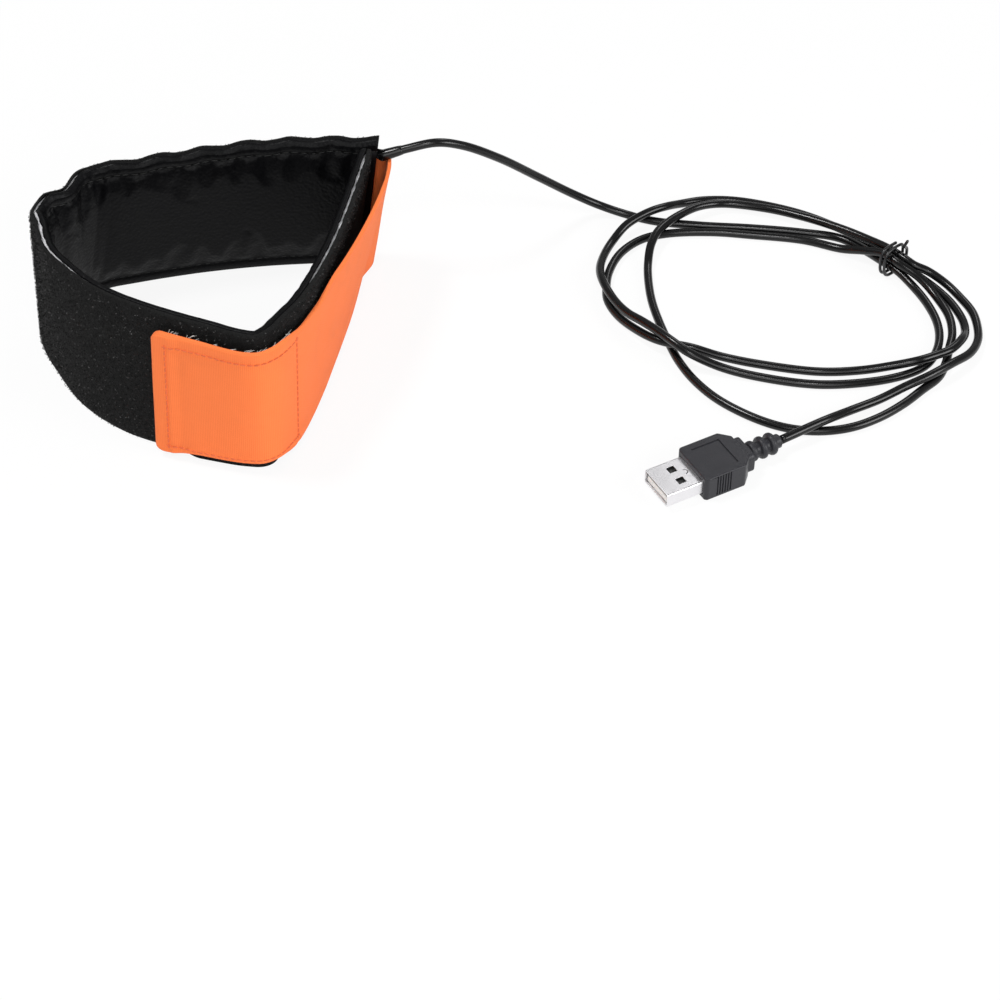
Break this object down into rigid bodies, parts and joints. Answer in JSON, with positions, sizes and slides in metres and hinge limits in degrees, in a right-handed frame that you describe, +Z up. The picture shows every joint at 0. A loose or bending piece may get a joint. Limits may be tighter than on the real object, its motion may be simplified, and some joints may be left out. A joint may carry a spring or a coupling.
{
  "type": "telescope dew heater strip",
  "caption": "Padded dew heater strip closed in a loop by an orange strap, with a USB-A power cable tied in a loose hank.",
  "frame": {"origin": "middle of the footprint of the strip and its strap, on the surface they stand on", "axes": "+Z up, along the width of the strip; +X along the longest way across the loop, towards the corner where the cable leaves; +Y towards the back wall"},
  "size_m": [0.279, 0.14, 0.0474],
  "materials": {
    "pu_leather": "satin",
    "white_foam": "matte",
    "loop_pile": "matte",
    "heater_wire": "satin",
    "black_sleeve": "satin",
    "red_core": "satin",
    "black_core": "satin",
    "orange_webbing": "matte",
    "hook_nylon": "matte",
    "cable_pvc": "gloss",
    "tie_pvc": "satin",
    "plug_pvc": "satin",
    "shell_steel": "satin",
    "tongue_plastic": "satin",
    "contact_gilt": "polished"
  },
  "bodies": {
    "root": {"lining": "pu_leather", "foam_pad": "white_foam", "loop_cover": "loop_pile", "heater_wire": "heater_wire", "joint_sleeve_a": "black_sleeve", "joint_sleeve_b": "black_sleeve", "lead_red": "red_core", "lead_black": "black_core", "strap": "orange_webbing", "hook_patch": "hook_nylon", "power_cable": "cable_pvc", "cable_tie": "tie_pvc", "plug_overmold": "plug_pvc", "plug_shell": "shell_steel", "plug_tongue": "tongue_plastic", "plug_contact_1": "contact_gilt", "plug_contact_2": "contact_gilt", "plug_contact_3": "contact_gilt", "plug_contact_4": "contact_gilt", "plug_lead_red": "red_core", "plug_lead_black": "black_core"}
  },
  "joints": []
}
